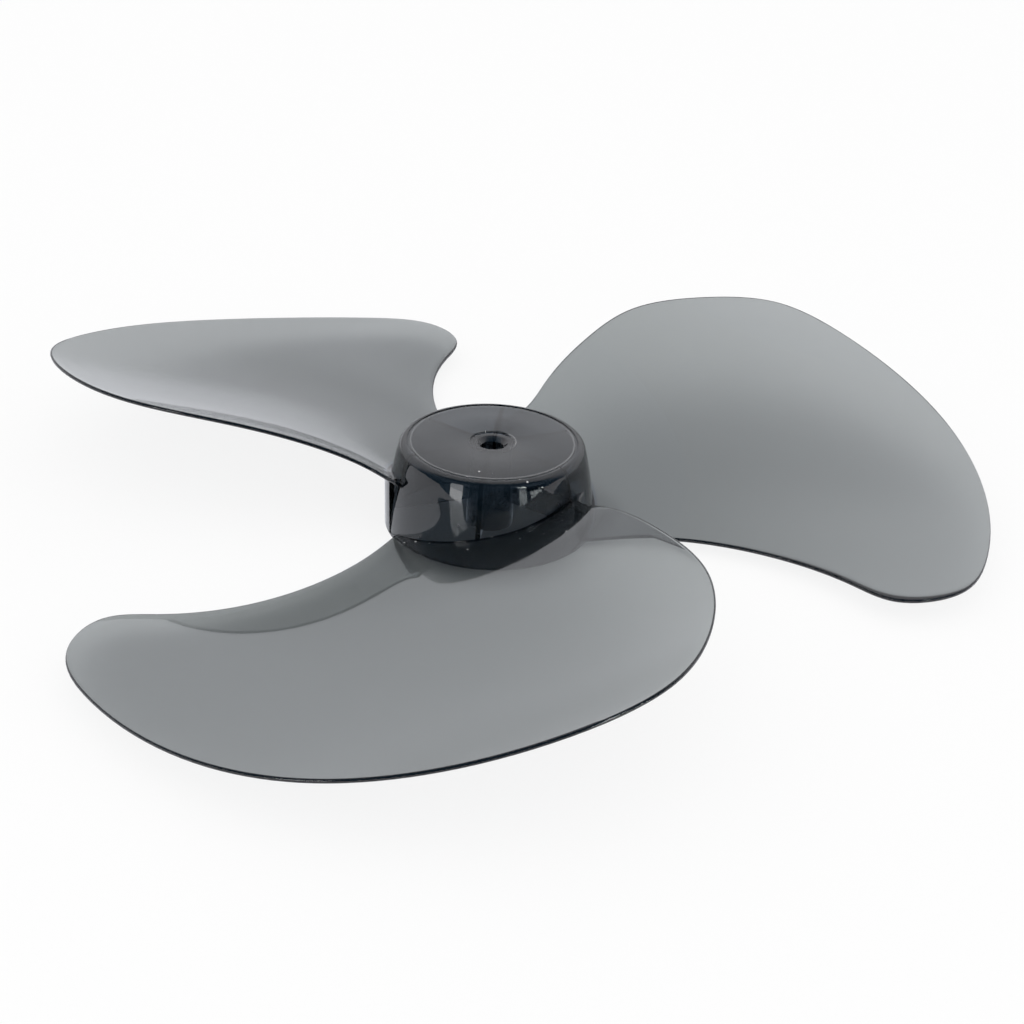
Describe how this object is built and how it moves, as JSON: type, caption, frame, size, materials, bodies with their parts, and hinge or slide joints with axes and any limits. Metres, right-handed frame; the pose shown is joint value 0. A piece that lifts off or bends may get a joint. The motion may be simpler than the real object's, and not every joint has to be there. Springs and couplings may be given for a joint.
{
  "type": "pedestal fan blade",
  "caption": "Moulded axial fan blade of smoky translucent plastic: swept, cambered blades on an open-backed hub with a shaft bore and a flat front face for the spinner nut.",
  "frame": {"origin": "on the shaft axis in the plane of the hub's open back, which is also the mouth of the shaft bore", "axes": "+Z along the shaft axis towards the front of the fan, where the air leaves and the spinner nut sits"},
  "size_m": [0.3774, 0.3766, 0.0466],
  "materials": {
    "smoke_plastic": "glossy, smoky grey and translucent"
  },
  "bodies": {
    "root": {"fan_blade": "smoke_plastic"}
  },
  "joints": []
}
